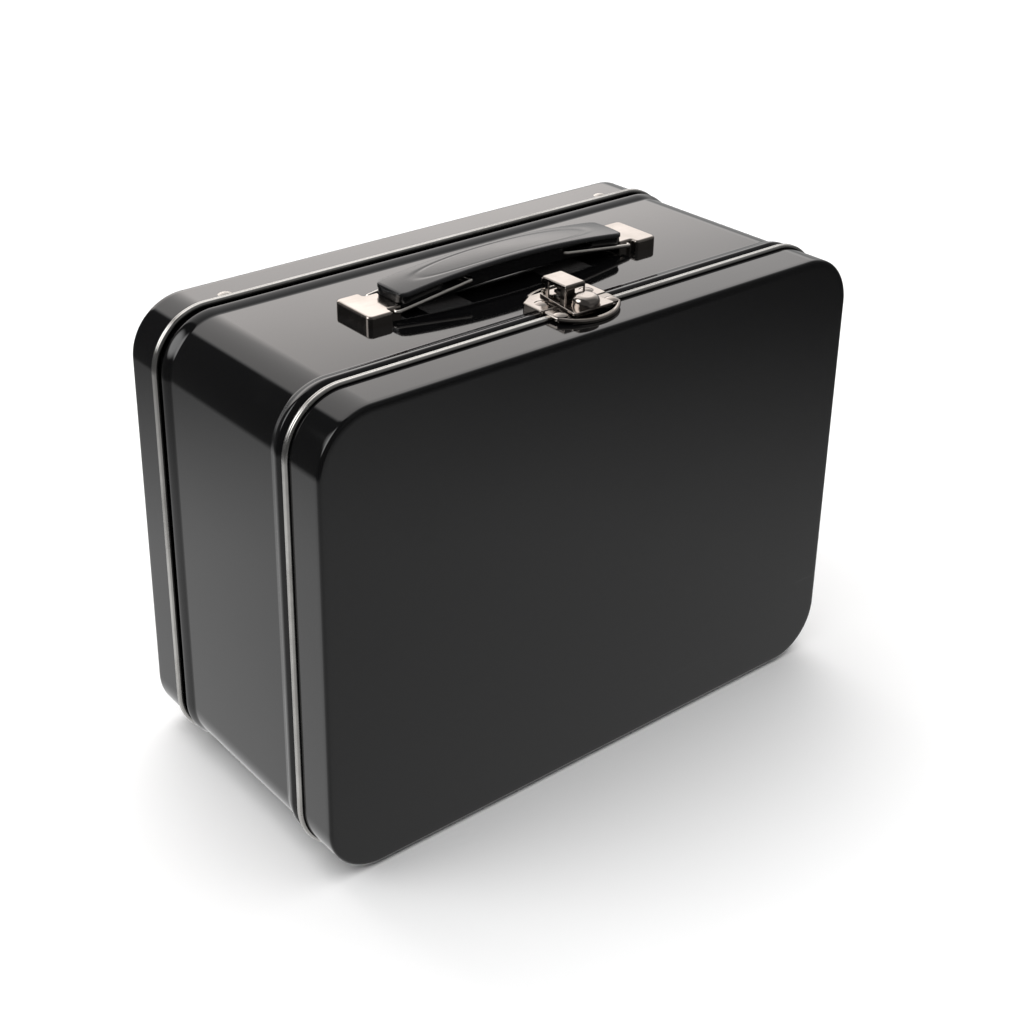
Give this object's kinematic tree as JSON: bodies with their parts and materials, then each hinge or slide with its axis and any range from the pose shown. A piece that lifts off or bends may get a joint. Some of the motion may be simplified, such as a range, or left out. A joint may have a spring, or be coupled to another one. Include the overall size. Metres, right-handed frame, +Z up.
{
  "type": "metal lunch box",
  "caption": "Rectangular tin lunch box with rounded corners, a hinged lid with a flip latch, rolled rims and a folding carry grip on wire bails.",
  "frame": {"origin": "centre of the rectangle the closed box stands on, at the level of the rolled rims' lowest line", "axes": "+X along the box's width, the lid and its latch face -Y, +Z up through the grip"},
  "size_m": [0.205, 0.1, 0.158],
  "materials": {
    "black_tin": "gloss black enamel on tinplate, bare tin inside and on the rolled rims",
    "tinplate": "bright tinplate",
    "rivet_steel": "bright steel",
    "nickel": "polished nickel plate",
    "wire_steel": "bright drawn wire",
    "black_plastic": "semi-gloss moulded black"
  },
  "bodies": {
    "case": {"body_band": "black_tin", "band_seam": "tinplate", "back_cover": "black_tin", "back_cover_rivets": "rivet_steel", "hinge_band_leaves": "tinplate", "hinge_pins": "wire_steel", "hinge_band_rivets": "rivet_steel", "bracket_left": "nickel", "bracket_right": "nickel", "bracket_backing_plates": "tinplate", "bracket_rivets": "rivet_steel", "latch_base": "nickel", "latch_base_rivets": "nickel", "latch_pin": "wire_steel"},
    "lid": {"lid": "black_tin", "hinge_lid_leaves": "tinplate", "hinge_lid_rivets": "rivet_steel", "latch_strike": "nickel", "latch_strike_rivets": "nickel"},
    "latch_lever": {"latch_lever": "nickel", "latch_knob": "nickel"},
    "grip": {"grip": "black_plastic"},
    "link_left": {"link_left": "wire_steel"},
    "link_right": {"link_right": "wire_steel"}
  },
  "joints": [
    {"name": "lid_hinge", "type": "hinge", "parent": "case", "child": "lid", "pos_m": [0, -0.034, 0.00095], "axis": [1, 0, 0], "range_deg": [0, 115]},
    {"name": "latch_flip", "type": "hinge", "parent": "case", "child": "latch_lever", "pos_m": [0, -0.0232, 0.1523], "axis": [-1, 0, 0], "range_deg": [0, 95]},
    {"name": "grip_lift", "type": "slide", "parent": "case", "child": "grip", "axis": [0, 0, 1], "range_m": [0, 0.015]},
    {"name": "link_left_swing", "type": "hinge", "parent": "case", "child": "link_left", "pos_m": [-0.0455, 0, 0.1506], "axis": [0, -1, 0], "range_deg": [0, 35.5]},
    {"name": "link_right_swing", "type": "hinge", "parent": "case", "child": "link_right", "pos_m": [0.0455, 0, 0.1506], "axis": [0, 1, 0], "range_deg": [0, 35.5]}
  ],
  "couplings": [
    {"joint": "link_left_swing", "follows": "grip_lift", "rad_per_m": 40.7},
    {"joint": "link_right_swing", "follows": "grip_lift", "rad_per_m": 40.7}
  ]
}
